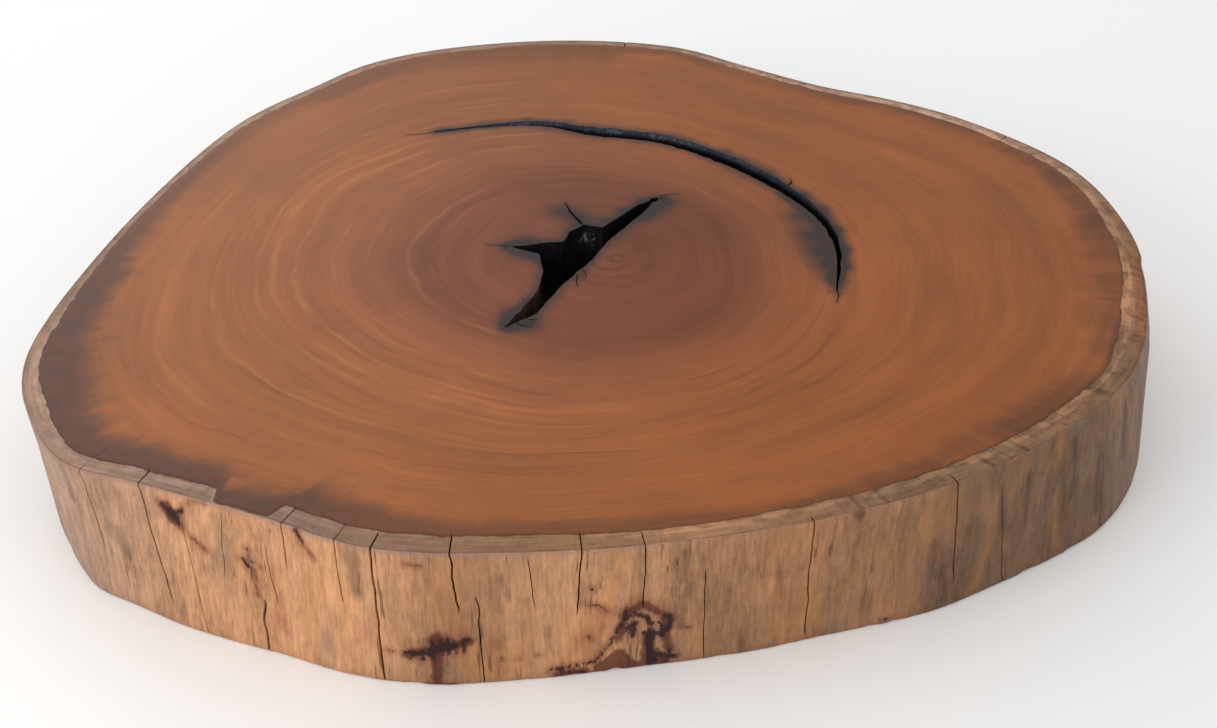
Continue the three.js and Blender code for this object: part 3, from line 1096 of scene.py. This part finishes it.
def debarkedWall():
    n = Nodes("debarkedWall")
    spot = n.place()
    patchy = n.upright(spot, 0.35)
    height = n.times(n.part(spot, 2), 1000.0)
    streaks = n.noise(n.upright(spot, 0.11), 52, 3, 0.62)
    fibres = n.noise(n.upright(spot, 0.10), 290, 3, 0.75)
    mottle = n.noise(n.upright(spot, 0.5), 105, 4, 0.78, distortion=0.5)
    tone = n.varied(outerWood["tone"], n.noise(patchy, 17, 3, 0.6, distortion=0.4), outerWood["patches"])
    tone = n.varied(tone, streaks, outerWood["streaks"])
    tone = n.varied(tone, mottle, outerWood["mottle"])
    tone = n.varied(tone, fibres, outerWood["fibres"])
    # tone round the trunk, partly the wood's own colour and partly painted light and shade
    shade = n.scaled(n.colour("wallToneAndPaintedLight"), tone)
    # golden and grey patches
    gold = n.range(n.noise(n.vector("ADD", patchy, (2, 0, 0)), 21, 2, 0.55, distortion=0.6), 0.50, 0.72)
    shade = n.mix(n.times(gold, outerWood["goldStrength"]), shade, outerWood["gold"])
    grey = n.range(n.noise(n.vector("ADD", patchy, (0, 5, 0)), 26, 3, 0.6), 0.56, 0.74)
    shade = n.mix(n.times(grey, outerWood["greyStrength"]), shade, outerWood["grey"])
    # pale streaks, murky streaks and short dark dashes along the grain
    cream = n.range(n.noise(n.upright(spot, 0.13), 95, 3, 0.65), 0.58, 0.72)
    shade = n.mix(n.times(cream, outerWood["cream"]), shade, n.scaled(shade, 1.45))
    murk = n.range(n.noise(n.upright(spot, 0.22), 34, 3, 0.6, distortion=0.8), 0.52, 0.66)
    shade = n.mix(n.times(murk, outerWood["murk"]), shade, n.tinted(shade, outerWood["murkTint"]))
    dash = n.range(n.noise(n.upright(spot, 0.075), 200, 2, 0.6), 0.62, 0.67)
    dash = n.times(dash, n.range(n.noise(n.vector("ADD", patchy, (7, 0, 0)), 14, 2, 0.5), 0.46, 0.62))
    shade = n.mix(n.times(dash, outerWood["dashStrength"]), shade, outerWood["dash"])
    soil = n.times(n.range(height, 14, 0, 0, outerWood["soil"]), n.noise(spot, 40, 2, 0.5))
    shade = n.mix(soil, shade, outerWood["weather"])
    # worn, slightly violet line just under the top edge
    lineAt = n.plus(height, n.times(n.noise(spot, 30, 2, 0.5), 6))
    lineOn = n.range(n.part(spot, 0), 0.15, -0.15, 0.15, 0.6)
    shade = n.mix(n.times(n.range(lineAt, topZ - 3, topZ + 1.5), lineOn), shade, outerWood["rimLine"])
    # weathering, blushes and ink-dark stains, each with its own ragged edge
    ragged = n.minus(n.noise(n.upright(spot, 0.25), 60, 3, 0.65), 0.5)
    gap = n.plus(n.value("weatherGap"), n.times(ragged, 22))
    worn = n.mix(0.5, outerWood["weather"], n.scaled(shade, 0.45))
    shade = n.mix(n.range(gap, 5.0, -6.0, 0, outerWood["weatherStrength"]), shade, worn)
    wisps = n.noise(n.upright(spot, 0.55), 130, 3, 0.65)
    nearInk = n.range(n.varied(n.value("inkGap"), wisps, 9), 7.0, 0.5, 0, 0.5)
    shade = n.mix(nearInk, shade, n.tinted(shade, outerWood["inkHalo"]))
    faint = n.range(n.varied(n.value("faintGap"), wisps, 9), 6.0, -8.0, 0, 0.42)
    shade = n.mix(faint, shade, n.tinted(shade, outerWood["faintTint"]))
    blush = n.range(n.varied(n.value("blushGap"), wisps, 9), 2.5, -2.5, 0, 0.90)
    red = n.mix(0.6, n.tinted(shade, outerWood["blushTint"]), outerWood["blush"])
    shade = n.mix(blush, shade, red)
    bits = n.noise(n.upright(spot, 0.6), 320, 3, 0.75)
    ink = n.range(n.varied(n.value("inkGap"), bits, 9), 1.6, -0.6, 0, 0.93)
    shade = n.mix(ink, shade, outerWood["ink"])
    # painted shade, darkening the insides of the checks in the wall
    shade = n.mix(n.range(n.value("groove"), 0.12, 0.6), shade, outerWood["crackShade"])
    bump = n.bump(n.plus(n.times(streaks, 0.7), n.times(fibres, 0.55)), outerWood["grainDepth"], 0.45)
    return n.finish(shade, outerWood["roughness"], bump, outerWood["gloss"])


crackWood = {
    "char": (0.003, 0.003, 0.004), "ash": (0.016, 0.015, 0.017), "brown": (0.110, 0.060, 0.036),
    # the bluish lip colour is a painted reflection of the bright room on the glossy charred top of the
    # shake's far wall
    "lip": (0.030, 0.034, 0.056), "paintedReflectionStrength": 0.8, "lipLevels": (180, 215),  # only on the shake
    "ribDepth": 0.005, "gloss": 0.65,
}


def charredCrack():
    n = Nodes("charredCrack")
    spot = n.place()
    grit = n.noise(n.upright(spot, 0.3), 110, 3, 0.6)
    height = n.times(n.part(spot, 2), 1000.0)
    shade = n.mix(grit, crackWood["char"], crackWood["ash"])
    # bare brown wood near the top of the hollow's lower arm
    brown = n.times(n.range(n.part(spot, 1), -0.05, -0.09), n.range(height, topZ - 60, topZ - 8))
    brown = n.times(brown, n.range(n.part(spot, 0), 0.0, -0.04))
    shade = n.mix(n.times(brown, grit), shade, crackWood["brown"])
    # painted reflection: the top of the shake's far wall is given a bluish colour for the light it would
    # mirror
    lip = n.range(n.value("ringLevel"), *crackWood["lipLevels"])
    lip = n.times(n.range(height, topZ - 10, topZ - 2), lip)
    shade = n.mix(n.times(lip, crackWood["paintedReflectionStrength"]), shade, crackWood["lip"])
    ribs = n.noise(n.upright(spot, 0.06), 120, 2, 0.6)
    bump = n.bump(n.plus(grit, ribs), crackWood["ribDepth"], 0.7)
    return n.finish(shade, n.range(lip, 0, 1, 0.24, 0.5), bump, crackWood["gloss"])


underside = {
    "dark": paint(112, 76, 50), "light": paint(150, 106, 72), "sapwood": 0.4,
    "roughness": 0.8, "gloss": 0.3, "sawDepth": 0.001,
}


def sawnUnderside():
    n = Nodes("sawnUnderside")
    spot = n.place()
    ring = n.layered(spot, 4, n.value("ringLevel"), 0.12, 3, 0.6)
    saw = n.noise(n.vector("MULTIPLY", spot, (2, 60, 0)), 3, 2, 0.5)
    base = n.colours(ring, [(0.3, underside["dark"]), (0.7, underside["light"])])
    sap = n.range(n.value("bandDepth"), -10, 5, 1, 0)
    shade = n.scaled(base, n.range(saw, 0.2, 0.8, 0.8, 1.2, False))
    shade = n.mix(n.times(sap, underside["sapwood"]), shade, n.colour("sapwoodTone"))
    bump = n.bump(saw, underside["sawDepth"], 0.4)
    return n.finish(shade, underside["roughness"], bump, underside["gloss"])


def makeStage():
    mesh = bpy.data.meshes.new("paleFloor")
    half = 12.0
    corners = [(-half, -half, 0), (half, -half, 0), (half, half, 0), (-half, half, 0)]
    mesh.from_pydata(corners, [], [(0, 1, 2, 3)])
    floor = bpy.data.objects.new("paleFloor", mesh)
    bpy.context.collection.objects.link(floor)
    n = Nodes("paleFloor")
    mesh.materials.append(n.finish(light["floor"], 0.9, None, 0.1))
    world = bpy.data.worlds.new("softStudio")
    bpy.context.scene.world = world
    world.use_nodes = True
    sky = world.node_tree.nodes["Background"]
    sky.inputs["Color"].default_value = (*light["world"], 1)
    sky.inputs["Strength"].default_value = light["worldStrength"]
    for name, watts, colour, size, place, aim in light["lamps"]:
        lamp = bpy.data.lights.new(name, "AREA")
        lamp.shape = "RECTANGLE"
        lamp.size, lamp.size_y = size
        lamp.energy = watts
        lamp.color = colour
        holder = bpy.data.objects.new(name, lamp)
        holder.location = place
        way = Vector(aim) - Vector(place)
        holder.rotation_euler = way.to_track_quat("-Z", "Y").to_euler()
        bpy.context.collection.objects.link(holder)


def makeCamera():
    data = bpy.data.cameras.new("camera")
    data.sensor_fit = "HORIZONTAL"
    data.sensor_width = 36.0
    data.lens = 36.0 * camera["focal"]
    holder = bpy.data.objects.new("camera", data)
    holder.location = camera["place"]
    holder.rotation_euler = (math.radians(90 - camera["down"]), 0, 0)
    bpy.context.collection.objects.link(holder)
    scene = bpy.context.scene
    scene.camera = holder
    scene.view_settings.view_transform = "Standard"


makeCamera()
makeStage()
woodSlice = buildSlice()
for finish in (sandedTop(), debarkedWall(), charredCrack(), sawnUnderside()):
    woodSlice.data.materials.append(finish)
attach(woodSlice, "root")
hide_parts("wood_slice")
print("slice ready:", len(woodSlice.data.vertices), "points,", len(woodSlice.data.polygons), "faces")
